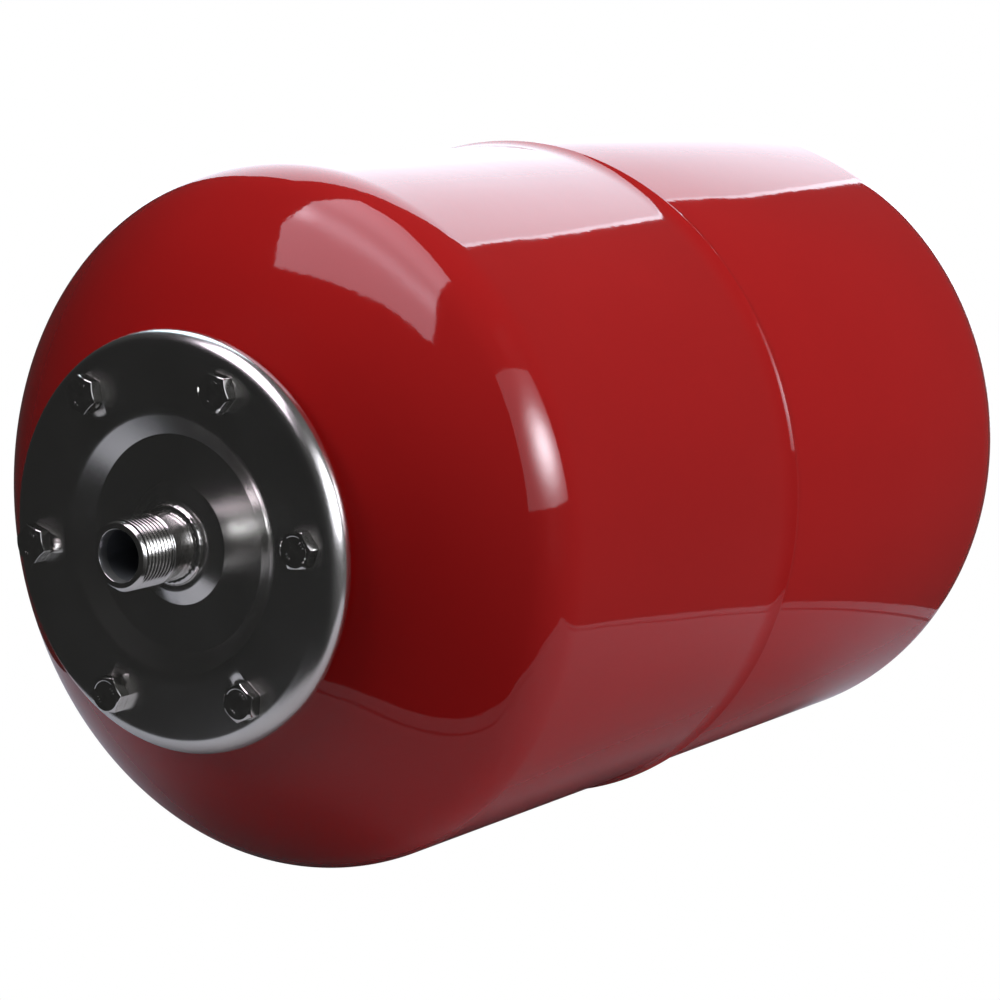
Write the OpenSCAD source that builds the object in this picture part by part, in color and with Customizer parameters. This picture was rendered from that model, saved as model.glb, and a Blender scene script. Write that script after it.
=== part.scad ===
// Expansion vessel with a bolted cover and a replaceable bag, lying on its side.
// The axis of the vessel runs along Y, and the connection thread points to -Y.
// The origin is on that axis, half-way along the connection thread.
// Profiles are lists of [r, s]: r is the distance from the axis, and s is the distance
// along +Y from the plane where the cover plate is widest.

/* [Vessel] */
// Outside diameter of the straight wall
vessel_d = 273; // [250:1:300]
// Thickness of the two steel shells
shell_t = 1.5; // [1.2:0.1:2]
// Outside radius of the domed ends
crown_r = 178.6; // [170:0.1:200]
// Outside radius of the bend between a dome and the straight wall
knuckle_r = 31.4; // [26:0.1:38]
// Length of the straight wall between the two domes
wall_len = 309; // [280:1:360]
// Distance from the front dome to the free edge of the front shell
seam_at = 146.5; // [120:0.5:180]
// How far the front shell is belled out over the rear one
bell_rise = 1.9; // [1.8:0.1:2.4]
// Length of the rear shell that is inside the bell
lap_len = 5; // [3:0.5:5.5]
// How far the front dome, if it were complete, would stand in front of the cover's widest plane
dome_lead = 10.5; // [8:0.5:12]

/* [Cover plate] */
// Outside diameter of the cover plate
cover_d = 158; // [154:1:164]
// Thickness of the cover plate
cover_t = 3; // [2.5:0.1:3.5]
// Outside radius of the rolled rim
rim_roll_r = 7; // [6.5:0.1:8]
// Angle by which the rolled rim turns in past its widest plane
rim_curl = 25; // [10:1:40]
// Diameter of the flat disc at the bottom of the recess
recess_d = 81.2; // [78:0.2:84]
// Depth of the recess
recess_depth = 5.7; // [4:0.1:5.8]
// Width of the sloping wall of the recess
recess_run = 11.4; // [11.2:0.1:12]
// Steepness of that wall, in degrees
recess_slope = 32; // [32:1:36]
// Diameter of the raised boss round the nozzle
boss_d = 46; // [42:0.5:50]
// Height of the raised boss
boss_h = 3.1; // [2:0.1:3.2]
// Width of the sloping flank of the boss
boss_run = 7; // [6.8:0.1:7.5]
// Steepness of that flank, in degrees
boss_slope = 28; // [28:1:32]

/* [Connection] */
// Major diameter of the connection thread
thread_d = 26.44; // [20:0.01:28]
// Length of the connection thread
thread_len = 15.2; // [12:0.1:18]
// Length of the chamfer at the nozzle's tip
tip_chamfer = 1.5; // [1:0.1:2]
// Distance from the nozzle's tip to the cover's widest plane
nozzle_reach = 33; // [30:0.5:45]
// Diameter of the waterway
waterway_d = 19.2; // [14:0.1:19.6]

/* [Bolts] */
// Number of cover bolts
bolt_count = 6; // [4:1:6]
// Diameter of the bolt circle
bolt_pcd = 130; // [129:1:131]
// Thread diameter of a bolt
bolt_d = 8; // [6:1:8]
// Width across the flats of a bolt's head and of a nut
hex_af = 13; // [10:1:13]
// Height of a bolt's head
head_h = 5.3; // [4:0.1:6]
// Length of a bolt's shank
shank_len = 25; // [22:1:30]
// Angle of the first bolt above the horizontal
bolt_clock = 5; // [0:1:59]
// Angles at which the hexagonal heads came to rest when they were tightened
head_turns = [7, 47, 42, 44, 2, 24]; // [0:1:59]

/* [Bag] */
// Thickness of the rubber lip that the cover plate clamps
lip_t = 3.5; // [3:0.1:4]
// Thickness of the rubber wall
bag_t = 2.5; // [2:0.1:3]
// Outside diameter of the bag
bag_d = 200; // [160:1:220]
// Distance from the cover's widest plane to the bag's closed end
bag_split_s = 250; // [200:1:280]
// Depth of the rounded closed end
bag_end_depth = 80; // [60:1:90]

/* [Air valve] */
// Diameter of the steel boss in the rear dome
valve_boss_d = 22; // [20:0.5:24]
// Height of that boss above the rear dome
valve_boss_h = 7; // [6:0.5:8]
// Thread diameter of the valve body in the boss
valve_thread_d = 12; // [11:0.5:12]
// Diameter of the valve stem
stem_d = 7.7; // [7:0.1:8]
// Outside diameter of the push-on cap
cap_d = 31; // [30:0.5:36]
// Height of the cap's top above the rear dome
cap_top = 27; // [27:0.5:32]

/* [Hidden] */
$fn = 96;

vessel_r = vessel_d / 2;
// Clearance between separate pieces that are not meant to touch
gap = 0.05;

// Domed ends: the knuckle arc starts at the straight wall and the crown arc ends at the axis
crown_drop = sqrt(pow(crown_r - knuckle_r, 2) - pow(vessel_r - knuckle_r, 2));
join_angle = atan2(crown_drop, vessel_r - knuckle_r);
head_depth = crown_r - crown_drop;

// Stations along the axis
front_wall_s = head_depth - dome_lead;
rear_wall_s = front_wall_s + wall_len;
seam_s = front_wall_s + seam_at;
apex_s = rear_wall_s + head_depth;
face_s = -rim_roll_r;
seat_s = face_s + cover_t + lip_t;
disc_s = face_s + recess_depth;
boss_s = disc_s - boss_h;
tip_s = -nozzle_reach;
thread_s = tip_s + tip_chamfer;
thread_end_s = thread_s + thread_len;
datum_y = -(thread_s + thread_len / 2);

// Lap joint: the front shell's bell, the rear shell's neck inside it, and the weld behind it
bell_len = 11.5;
neck_in = 1.4;
weld_run = 5;

// Mouth of the front shell: a flat seat on a low plateau
mouth_r = 50;
seat_r = 72;
plateau_bend = 2.5;
ring_t = 5;
ring_in_r = 55;
bolt_hole_r = bolt_d / 2 + 0.5;
nut_h = 6.5;

// Cover plate
cover_r = cover_d / 2;
recess_flat_r = recess_d / 2 + recess_run;
boss_flat_r = boss_d / 2 - boss_run;

// Nozzle
thread_r = thread_d / 2;
shank_r = thread_r - 0.17;
waterway_r = waterway_d / 2;
nozzle_end_s = boss_s + cover_t;
tip_r = thread_r - tip_chamfer;

// Bag
lip_r = 60;
neck_r = mouth_r - 0.5;
neck_end_s = 13;
shoulder_len = 49;
bag_r = bag_d / 2;

// Air valve: heights are above the top of the rear dome
valve_boss_r = valve_boss_d / 2;
valve_boss_in = 4;
o_ring_r = 0.65;
o_ring_centre_r = 7.2;
hex_low = valve_boss_h + 2 * o_ring_r;
hex_top = hex_low + 4;
valve_af = 17;
stem_top = 20;
core_r = 2.6;
air_r = 1.8;
barrel_low = 8;
barrel_top = 18.5;
barrel_r = core_r - 0.1;
cavity_r = 1.9;
cavity_low = 10.5;
cavity_top = 18;
pin_r = 0.7;
collar_low = 16.8;
spring_wire_r = 0.2;
spring_r = 1.25;
spring_turns = 5;
cap_low = 1.5;
cap_wall = 2.6;
cap_r = cap_d / 2;
cap_round = 5;
rib_count = 12;

// Points of an arc about [cx, cy], from angle a0 to a1
function arc(cx, cy, rad, a0, a1, n) = [
    for (i = [0 : n]) let (a = a0 + (a1 - a0) * i / n) [cx + rad * cos(a), cy + rad * sin(a)]
];

// Points of the bell at depth t, from its free edge to the straight wall
function bell(t) = [
    for (i = [0 : 9]) let (u = i / 9)
        [vessel_r - t + bell_rise * pow(1 - u, 3), seam_s - bell_len * u]
];

// Points of an S-curve from [r0, s0] to [r1, s1], level at both ends
function s_curve(r0, s0, r1, s1, n) = [
    for (i = [0 : n]) let (u = i / n) [r0 + (r1 - r0) * u * u * (3 - 2 * u), s0 + (s1 - s0) * u]
];

// Points of a domed end, at depth t below its outer surface, as [r, height above the wall's end]
function dome(t, r_end) = concat(
    arc(vessel_r - knuckle_r, 0, knuckle_r - t, 0, join_angle, 10),
    arc(0, -crown_drop, crown_r - t, join_angle + 1, acos(r_end / (crown_r - t)), 15)
);

// The same points as stations along the axis, for the front and the rear dome
function front_dome(t, r_end) = [for (p = dome(t, r_end)) [p[0], front_wall_s - p[1]]];
function rear_dome(t, r_end) = [for (p = dome(t, r_end)) [p[0], rear_wall_s + p[1]]];

// Points of a flank that leaves a flat at [r0, s0], bends down to the slope and then runs straight;
// it falls by drop over run, to one side, and t is the depth below the outer surface
function flank(r0, s0, run, drop, slope, side, t, n) =
    let (bend = (run * tan(slope) - drop) / (tan(slope) - tan(slope / 2)), rad = bend / sin(slope))
        concat(
            [for (i = [0 : n]) let (b = slope * i / n)
                [r0 + side * (rad - t) * sin(b), s0 + rad - (rad - t) * cos(b)]],
            [[r0 + side * (run - t * tan(slope / 2)), s0 + drop + t]]
        );

function reversed(list) = [for (i = [len(list) - 1 : -1 : 0]) list[i]];

// A list with every station moved by s
function shifted(list, s) = [for (p = list) [p[0], p[1] + s]];

// Turns a profile about the vessel's axis
module lathe(profile) {
    translate([0, datum_y, 0]) rotate([-90, 0, 0]) rotate_extrude() polygon(profile);
}

// Puts the children's Z axis on the vessel's axis, with their base at station s
module at_station(s) {
    translate([0, datum_y + s, 0]) rotate([-90, 0, 0]) children();
}

// Repeats the children at each bolt, with $bolt as its number
module at_each_bolt() {
    for ($bolt = [0 : bolt_count - 1]) {
        angle = bolt_clock + $bolt * 360 / bolt_count;
        translate([bolt_pcd / 2 * cos(angle), 0, bolt_pcd / 2 * sin(angle)]) children();
    }
}

// Holes for the cover bolts through whatever lies between two stations
module bolt_holes(s0, s1, hole_r) {
    at_each_bolt() at_station(s0) cylinder(r = hole_r, h = s1 - s0);
}

module front_shell() {
    wall_r = seat_r + plateau_bend;
    inner_bend = plateau_bend - shell_t;
    outer = concat(
        bell(0),
        front_dome(0, wall_r),
        arc(seat_r, seat_s + plateau_bend, plateau_bend, 0, -90, 5),
        [[mouth_r, seat_s]]
    );
    inner = concat(
        bell(shell_t),
        front_dome(shell_t, wall_r - shell_t),
        arc(seat_r, seat_s + plateau_bend, inner_bend, 0, -90, 5),
        [[mouth_r, seat_s + shell_t]]
    );
    color("firebrick") difference() {
        lathe(concat(outer, reversed(inner)));
        bolt_holes(seat_s - 1, seat_s + shell_t + 1, bolt_hole_r);
    }
}

module rear_shell() {
    edge_s = seam_s - lap_len;
    lap_r = vessel_r - neck_in;
    hole_r = valve_boss_r + gap;
    outer = concat([[lap_r, edge_s], [vessel_r, seam_s]], rear_dome(0, hole_r));
    inner = concat(
        [[lap_r - shell_t, edge_s], [vessel_r - shell_t, seam_s]],
        rear_dome(shell_t, hole_r)
    );
    color("firebrick") lathe(concat(outer, reversed(inner)));
}

// Fillet weld between the bell's free edge and the rear shell
module seam_weld() {
    leg = bell_rise - 0.1;
    color("firebrick") lathe(concat(
        [[vessel_r, seam_s], [vessel_r + leg, seam_s]],
        [for (i = [1 : 7]) let (u = i / 8)
            [vessel_r + leg * pow(1 - u, 3), seam_s + weld_run * u]],
        [[vessel_r, seam_s + weld_run]]
    ));
}

// Reinforcing ring inside the mouth of the front shell
module mouth_ring() {
    low = seat_s + shell_t;
    out_r = seat_r - 0.5;
    color("dimgray") difference() {
        lathe([[ring_in_r, low], [out_r, low], [out_r, low + ring_t], [ring_in_r, low + ring_t]]);
        bolt_holes(low - 1, low + ring_t + 1, bolt_hole_r);
    }
}

// Hexagonal prism on the vessel's axis direction, with one corner at the angle turn
module hex_prism(s, h, af, turn) {
    rotate([0, -turn, 0]) at_station(s) cylinder(d = af / cos(30), h = h, $fn = 6);
}

// Nuts welded behind the ring
module weld_nuts() {
    low = seat_s + shell_t + ring_t;
    color("silver") at_each_bolt() difference() {
        hex_prism(low, nut_h, hex_af, $bolt * 60);
        at_station(low - 1) cylinder(d = bolt_d + 2 * gap, h = nut_h + 2);
    }
}

// The boss's flank and the recess's wall at depth t, each from its high flat down to the low disc
function boss_flank(t) = flank(boss_flat_r, boss_s, boss_run, boss_h, boss_slope, 1, t, 4);
function recess_flank(t) = flank(recess_flat_r, face_s, recess_run, recess_depth, recess_slope, -1, t, 5);

module cover_plate() {
    bend_r = cover_r - rim_roll_r;
    under_roll = rim_roll_r - cover_t;
    top = concat(
        [[shank_r, boss_s]],
        boss_flank(0),
        reversed(recess_flank(0)),
        arc(bend_r, 0, rim_roll_r, -90, rim_curl, 12)
    );
    underside = concat(
        [[shank_r, boss_s + cover_t]],
        boss_flank(cover_t),
        reversed(recess_flank(cover_t)),
        arc(bend_r, 0, under_roll, -90, rim_curl, 12)
    );
    color("silver") difference() {
        lathe(concat(top, reversed(underside)));
        bolt_holes(face_s - 1, face_s + cover_t + 1, bolt_hole_r);
    }
}

// Threaded nozzle; the thread is a plain cylinder of its major diameter
module nozzle() {
    mouth_chamfer = 0.5;
    color("gainsboro") lathe([
        [waterway_r + mouth_chamfer, tip_s],
        [tip_r, tip_s],
        [thread_r, thread_s],
        [thread_r, thread_end_s],
        [shank_r, thread_end_s],
        [shank_r, nozzle_end_s],
        [waterway_r, nozzle_end_s],
        [waterway_r, tip_s + mouth_chamfer]
    ]);
}

module nozzle_weld() {
    throat = 2.2;
    leg = 2.4;
    color("gainsboro") lathe(concat(
        [[shank_r, boss_s]],
        [for (i = [0 : 6]) let (a = 15 * i) [shank_r + leg * cos(a), boss_s - throat * sin(a)]]
    ));
}

// Hexagonal bolt with a chamfered head
module hex_bolt(turn) {
    top_r = hex_af / 2 * 0.95;
    intersection() {
        hex_prism(face_s - head_h, head_h, hex_af, turn);
        at_station(face_s - head_h) cylinder(r1 = top_r, r2 = top_r + head_h * tan(60), h = head_h);
    }
    at_station(face_s - head_h / 2) cylinder(d = bolt_d, h = shank_len + head_h / 2);
}

module flange_bolts() {
    color("lightgray") at_each_bolt() hex_bolt(head_turns[$bolt]);
}

// Rubber bag: clamped lip, neck, shoulder and wall
module membrane() {
    lip_low = face_s + cover_t;
    shoulder_end_s = neck_end_s + shoulder_len;
    outer = concat(
        [[lip_r, lip_low], [lip_r, seat_s], [neck_r, seat_s]],
        s_curve(neck_r, neck_end_s, bag_r, shoulder_end_s, 14),
        [[bag_r, bag_split_s]]
    );
    inner = concat(
        [[recess_flat_r + 0.5, lip_low], [neck_r - bag_t, lip_low + 2]],
        shifted(s_curve(neck_r - bag_t, neck_end_s, bag_r - bag_t, shoulder_end_s, 14), bag_t),
        [[bag_r - bag_t, bag_split_s]]
    );
    color("dimgray") lathe(concat(outer, reversed(inner)));
}

// Closed end of the rubber bag
module membrane_crown() {
    steps = 14;
    quarter = [for (i = [0 : steps]) 90 * i / steps];
    outer = [for (a = quarter) [bag_r * cos(a), bag_split_s + bag_end_depth * sin(a)]];
    inner = [for (a = quarter)
        [(bag_r - bag_t) * cos(a), bag_split_s + (bag_end_depth - bag_t) * sin(a)]];
    color("dimgray") lathe(concat(outer, reversed(inner)));
}

// Threaded boss in the middle of the rear dome
module valve_boss() {
    color("firebrick") difference() {
        at_station(apex_s - valve_boss_in) cylinder(r = valve_boss_r, h = valve_boss_in + valve_boss_h);
        at_station(apex_s - valve_boss_in - 1)
            cylinder(d = valve_thread_d + 4 * gap, h = valve_boss_in + valve_boss_h + 2);
    }
}

module valve_boss_weld() {
    leg = 3;
    foot = apex_s - 0.3;
    color("firebrick") lathe([
        [valve_boss_r, foot],
        [valve_boss_r + leg, foot - 0.2],
        [valve_boss_r + 0.35 * leg, foot + 0.35 * leg],
        [valve_boss_r, foot + 0.8 * leg]
    ]);
}

module valve_body() {
    low = apex_s - 2 * valve_boss_in;
    color("goldenrod") difference() {
        union() {
            at_station(low) cylinder(d = valve_thread_d, h = apex_s + hex_low - low);
            hex_prism(apex_s + hex_low, hex_top - hex_low, valve_af, 0);
            at_station(apex_s + hex_top) cylinder(d = stem_d, h = stem_top - hex_top);
        }
        at_station(low - 1) cylinder(r = air_r, h = apex_s + stem_top - low);
        at_station(apex_s + valve_boss_in) cylinder(r = core_r, h = stem_top);
    }
}

module valve_o_ring() {
    color("black") at_station(apex_s + valve_boss_h + o_ring_r)
        rotate_extrude() translate([o_ring_centre_r, 0]) circle(r = o_ring_r);
}

module valve_core_barrel() {
    groove_r = barrel_r - 0.4;
    color("gold") lathe(shifted([
        [pin_r + 0.1, barrel_low], [barrel_r, barrel_low],
        [barrel_r, barrel_low + 0.6], [groove_r, barrel_low + 0.6],
        [groove_r, barrel_low + 1.9], [barrel_r, barrel_low + 1.9],
        [barrel_r, barrel_top], [pin_r + 0.3, barrel_top],
        [pin_r + 0.3, cavity_top], [cavity_r, cavity_top],
        [cavity_r, cavity_low], [pin_r + 0.1, cavity_low]
    ], apex_s));
}

module valve_core_gasket() {
    color("white") at_station(apex_s + barrel_low + 0.65) difference() {
        cylinder(r = core_r - 0.02, h = 1.2);
        translate([0, 0, -1]) cylinder(r = barrel_r - 0.38, h = 4);
    }
}

// Pin with its head, its collar inside the barrel and the flange that carries the seal
module valve_core_pin() {
    color("gold") lathe(shifted([
        [0, 4.6], [pin_r, 4.6], [pin_r, 5.8], [1.2, 5.8], [1.2, 6.4], [pin_r, 6.4],
        [pin_r, collar_low], [1.7, collar_low], [1.7, collar_low + 0.8], [pin_r, collar_low + 0.8],
        [pin_r, 18.7], [0.9, 18.7], [0.9, 19.2], [0.5, 19.5], [0, 19.5]
    ], apex_s));
}

module valve_core_seal() {
    color("black") at_station(apex_s + 6.4) difference() {
        cylinder(r = 1.75, h = barrel_low - 6.4);
        translate([0, 0, -1]) cylinder(r = pin_r + 0.01, h = 4);
    }
}

// Closed tube of round section swept along a helix, as one polyhedron
module valve_core_spring() {
    sides = 6;
    per_turn = 12;
    steps = spring_turns * per_turn;
    low = apex_s + cavity_low + spring_wire_r + gap;
    rise = collar_low - cavity_low - 2 * (spring_wire_r + gap);
    rings = [for (i = [0 : steps]) for (j = [0 : sides - 1])
        let (turn = 360 * i / per_turn, side = 360 * j / sides)
        let (rad = spring_r + spring_wire_r * cos(side))
        [rad * cos(turn), datum_y + low + rise * i / steps + spring_wire_r * sin(side),
         -rad * sin(turn)]];
    walls = [for (i = [0 : steps - 1]) for (j = [0 : sides - 1])
        let (k = (j + 1) % sides)
        [i * sides + j, (i + 1) * sides + j, (i + 1) * sides + k, i * sides + k]];
    ends = [
        [for (j = [0 : sides - 1]) j],
        [for (j = [sides - 1 : -1 : 0]) steps * sides + j]
    ];
    color("silver") polyhedron(points = rings, faces = concat(walls, ends));
}

// Push-on plastic cap with grip ribs
module valve_cap() {
    inner_r = cap_r - cap_wall;
    inner_top = cap_top - 2;
    inner_round = 2;
    rib_r = 1;
    color("black") union() {
        lathe(shifted(concat(
            [[inner_r, cap_low], [cap_r, cap_low]],
            arc(cap_r - cap_round, cap_top - cap_round, cap_round, 0, 90, 6),
            [[0, cap_top], [0, inner_top]],
            arc(inner_r - inner_round, inner_top - inner_round, inner_round, 90, 0, 4)
        ), apex_s));
        for (i = [0 : rib_count - 1]) {
            rotate([0, 360 * i / rib_count, 0]) translate([cap_r - 0.4 * rib_r, 0, 0])
                at_station(apex_s + cap_low + 1.5)
                    cylinder(r = rib_r, h = cap_top - cap_low - cap_round - 2, $fn = 24);
        }
    }
}

// Soft ring in the cap's mouth that grips the boss
module valve_cap_gasket() {
    color("black") at_station(apex_s + 3.2) difference() {
        cylinder(r = cap_r - cap_wall - 0.02, h = 2);
        translate([0, 0, -1]) cylinder(r = valve_boss_r + 0.1, h = 4);
    }
}

front_shell();
rear_shell();
seam_weld();
mouth_ring();
weld_nuts();
cover_plate();
nozzle();
nozzle_weld();
flange_bolts();
membrane();
membrane_crown();
valve_boss();
valve_boss_weld();
valve_body();
valve_o_ring();
valve_core_barrel();
valve_core_gasket();
valve_core_pin();
valve_core_seal();
valve_core_spring();
valve_cap();
valve_cap_gasket();
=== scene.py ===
import math

import bmesh
import bpy
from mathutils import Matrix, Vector


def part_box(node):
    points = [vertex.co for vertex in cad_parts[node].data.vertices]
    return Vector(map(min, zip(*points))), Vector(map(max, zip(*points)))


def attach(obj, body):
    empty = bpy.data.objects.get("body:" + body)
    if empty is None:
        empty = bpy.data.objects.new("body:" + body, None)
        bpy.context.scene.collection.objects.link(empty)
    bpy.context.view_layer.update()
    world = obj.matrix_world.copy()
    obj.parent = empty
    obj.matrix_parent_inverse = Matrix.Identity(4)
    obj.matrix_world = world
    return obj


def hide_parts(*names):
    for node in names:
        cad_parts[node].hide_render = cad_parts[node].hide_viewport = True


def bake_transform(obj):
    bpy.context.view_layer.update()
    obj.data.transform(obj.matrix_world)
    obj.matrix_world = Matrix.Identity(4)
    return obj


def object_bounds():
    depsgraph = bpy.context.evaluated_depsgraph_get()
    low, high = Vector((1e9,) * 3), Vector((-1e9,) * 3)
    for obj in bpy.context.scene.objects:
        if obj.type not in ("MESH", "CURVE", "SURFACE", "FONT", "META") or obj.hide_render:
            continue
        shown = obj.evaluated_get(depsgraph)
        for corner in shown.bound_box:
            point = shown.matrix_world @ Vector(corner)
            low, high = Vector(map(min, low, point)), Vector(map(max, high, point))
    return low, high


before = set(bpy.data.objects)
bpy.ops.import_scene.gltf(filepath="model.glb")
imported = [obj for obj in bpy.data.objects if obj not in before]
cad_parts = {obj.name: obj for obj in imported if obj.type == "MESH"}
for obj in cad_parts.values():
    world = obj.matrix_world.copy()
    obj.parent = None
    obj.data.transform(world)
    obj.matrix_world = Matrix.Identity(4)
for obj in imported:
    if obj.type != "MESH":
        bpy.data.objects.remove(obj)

CAD_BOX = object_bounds()
MM = 0.001
TAU = 2 * math.pi

# ---------------------------------------------------------------- stations along the axis
# Profiles are lists of [r, s] in millimetres, as in the CAD source: r is the distance from the
# axis, and s the distance along +Y from the plane where the cover plate is widest.
NOZZLE_REACH = 33.0
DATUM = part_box("nozzle")[0].y / MM + NOZZLE_REACH
VESSEL_R = 136.5
SHELL_T = 1.5
CROWN_R, KNUCKLE_R = 178.6, 31.4
CROWN_DROP = math.sqrt((CROWN_R - KNUCKLE_R) ** 2 - (VESSEL_R - KNUCKLE_R) ** 2)
JOIN = math.atan2(CROWN_DROP, VESSEL_R - KNUCKLE_R)
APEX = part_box("valve_boss")[0].y / MM + 4 - DATUM
REAR_WALL = APEX - (CROWN_R - CROWN_DROP)
WALL_LEN, FRONT_WALL_LEN = 309, 146.5
FRONT_WALL = REAR_WALL - WALL_LEN
SEAM = FRONT_WALL + FRONT_WALL_LEN
BELL_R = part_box("front_shell")[1].x / MM
FACE, SEAT, BOSS = -7.0, -0.5, -4.4
COVER_T, RIM_ROLL, RIM_CURL = 3.0, 7.0, math.radians(25)
RECESS = {"flat_r": 52, "run": 11.4, "drop": 5.7, "slope": 32}
RAISED = {"flat_r": 16, "run": 7, "drop": 3.1, "slope": 28}
THREAD_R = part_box("nozzle")[1].x / MM
SHANK_R = THREAD_R - 0.17
BOLT_PCD, BOLT_CLOCK = 130.0, 5.0
HEAD_TURNS = [7, 47, 42, 44, 2, 24]
HEX_AF, HEAD_H, BOLT_R, BOLT_HOLE_R, BOLT_LEN = 13.0, 5.3, 4.0, 4.5, 25.0


# ---------------------------------------------------------------- profiles
def arc(cx, cy, rad, a0, a1, n):
    """Points of an arc about (cx, cy) from angle a0 to a1, in radians."""
    return [(cx + rad * math.cos(a0 + (a1 - a0) * i / n), cy + rad * math.sin(a0 + (a1 - a0) * i / n))
            for i in range(n + 1)]


def s_curve(r0, s0, r1, s1, n):
    """Points of an S-curve in r, level at both ends."""
    out = []
    for i in range(n + 1):
        u = i / n
        out.append((r0 + (r1 - r0) * u * u * (3 - 2 * u), s0 + (s1 - s0) * u))
    return out


def dome(t, r_end):
    """A domed end at depth t, as (r, height above the end of the wall)."""
    knuckle = arc(VESSEL_R - KNUCKLE_R, 0, KNUCKLE_R - t, 0, JOIN, 40)
    crown = arc(0, -CROWN_DROP, CROWN_R - t, JOIN, math.acos(r_end / (CROWN_R - t)), 40)
    return knuckle + crown[1:]


def flank(form, s0, side, t, n):
    """A flank that leaves a flat at station s0, bends down to its slope and runs straight, at depth t."""
    a = math.radians(form["slope"])
    r0, run, drop = form["flat_r"], form["run"], form["drop"]
    rad = (run * math.tan(a) - drop) / (math.tan(a) - math.tan(a / 2)) / math.sin(a)
    bend = [(r0 + side * (rad - t) * math.sin(a * i / n), s0 + rad - (rad - t) * math.cos(a * i / n))
            for i in range(n + 1)]
    return bend + [(r0 + side * (run - t * math.tan(a / 2)), s0 + drop + t)]


SHARP_TURN = math.radians(12)


def soften(points, rad, n=5):
    """Rounds every corner of an open profile that turns by more than SHARP_TURN."""
    out = [points[0]]
    for a, b, c in zip(points, points[1:], points[2:]):
        u = Vector((a[0] - b[0], a[1] - b[1]))
        v = Vector((c[0] - b[0], c[1] - b[1]))
        if u.length < 1e-9 or v.length < 1e-9:
            continue
        turn = math.pi - u.angle(v)
        if turn < SHARP_TURN:
            out.append(b)
            continue
        cut = min(rad * math.tan(turn / 2), 0.45 * u.length, 0.45 * v.length)
        p, q = u.normalized() * cut, v.normalized() * cut
        for i in range(n + 1):
            w = i / n
            near, ahead = (1 - w) ** 2, w * w
            out.append((b[0] + p[0] * near + q[0] * ahead, b[1] + p[1] * near + q[1] * ahead))
    out.append(points[-1])
    return out


# ---------------------------------------------------------------- meshes
def finish_mesh(name, verts, faces, material, body, node, sharp=35):
    """A closed mesh from points in millimetres, with smooth shading, on its body."""
    mesh = bpy.data.meshes.new(name)
    mesh.from_pydata([(x * MM, y * MM, z * MM) for x, y, z in verts], [], faces)
    mesh.validate()
    bm = bmesh.new()
    bm.from_mesh(mesh)
    bmesh.ops.remove_doubles(bm, verts=bm.verts, dist=1e-7)
    bmesh.ops.recalc_face_normals(bm, faces=bm.faces)
    bm.to_mesh(mesh)
    bm.free()
    for p in mesh.polygons:
        p.use_smooth = True
    mesh.set_sharp_from_angle(angle=math.radians(sharp))
    obj = bpy.data.objects.new(name, mesh)
    bpy.context.scene.collection.objects.link(obj)
    mesh.materials.append(material)
    if node:
        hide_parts(node)
    if body:
        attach(obj, body)
    return obj


def surface(rings):
    """Vertices and quads of a closed loop of rings; each ring is a list of points about the axis."""
    n = len(rings[0])
    verts = [p for ring in rings for p in ring]
    faces = []
    for i in range(len(rings)):
        j = (i + 1) % len(rings)
        for k in range(n):
            m = (k + 1) % n
            faces.append((i * n + k, i * n + m, j * n + m, j * n + k))
    return verts, faces


def lathe(profile, segments, shape=None):
    """Rings of a closed profile turned about the axis. shape(r, s, angle) may move a point."""
    rings = []
    for r, s in profile:
        ring = []
        for k in range(segments):
            a = TAU * k / segments
            rr, ss = shape(r, s, a) if shape else (r, s)
            ring.append((rr * math.cos(a), DATUM + ss, rr * math.sin(a)))
        rings.append(ring)
    return rings


def solid(profile, segments=256, shape=None):
    """Vertices and faces of a profile that touches the axis at both ends, or is closed away from it."""
    if profile[0][0] > 1e-6:
        return surface(lathe(profile, segments, shape))
    rings = lathe(profile[1:-1], segments, shape)
    verts, faces = surface(rings)
    n = segments
    faces = faces[: (len(rings) - 1) * n]
    first, last = len(verts), len(verts) + 1
    verts += [(0, DATUM + profile[0][1], 0), (0, DATUM + profile[-1][1], 0)]
    base = (len(rings) - 1) * n
    for k in range(n):
        m = (k + 1) % n
        faces.append((first, m, k))
        faces.append((last, base + k, base + m))
    return verts, faces


def bolt_centre(b):
    """Place of bolt b, as (x, z) in millimetres."""
    c = math.radians(BOLT_CLOCK + 60 * b)
    return BOLT_PCD / 2 * math.cos(c), BOLT_PCD / 2 * math.sin(c)


def cut_bolt_holes(obj, s0, s1):
    """Drills the six bolt holes, from station s0 to s1."""
    verts, faces = [], []
    n = 32
    for b in range(6):
        x, z = bolt_centre(b)
        base = len(verts)
        for s in (s0, s1):
            for k in range(n):
                a = TAU * k / n
                verts.append((x + BOLT_HOLE_R * math.cos(a), DATUM + s, z + BOLT_HOLE_R * math.sin(a)))
        faces.append([base + k for k in range(n)])
        faces.append([base + n + k for k in reversed(range(n))])
        for k in range(n):
            m = (k + 1) % n
            faces.append([base + m, base + k, base + n + k, base + n + m])
    drill = finish_mesh("drill", verts, faces, obj.data.materials[0], None, None)
    mod = obj.modifiers.new("holes", "BOOLEAN")
    mod.operation, mod.solver, mod.object = "DIFFERENCE", "EXACT", drill
    bpy.context.view_layer.update()
    made = bpy.data.meshes.new_from_object(obj.evaluated_get(bpy.context.evaluated_depsgraph_get()))
    obj.modifiers.clear()
    obj.data = made
    bpy.data.objects.remove(drill)


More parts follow.
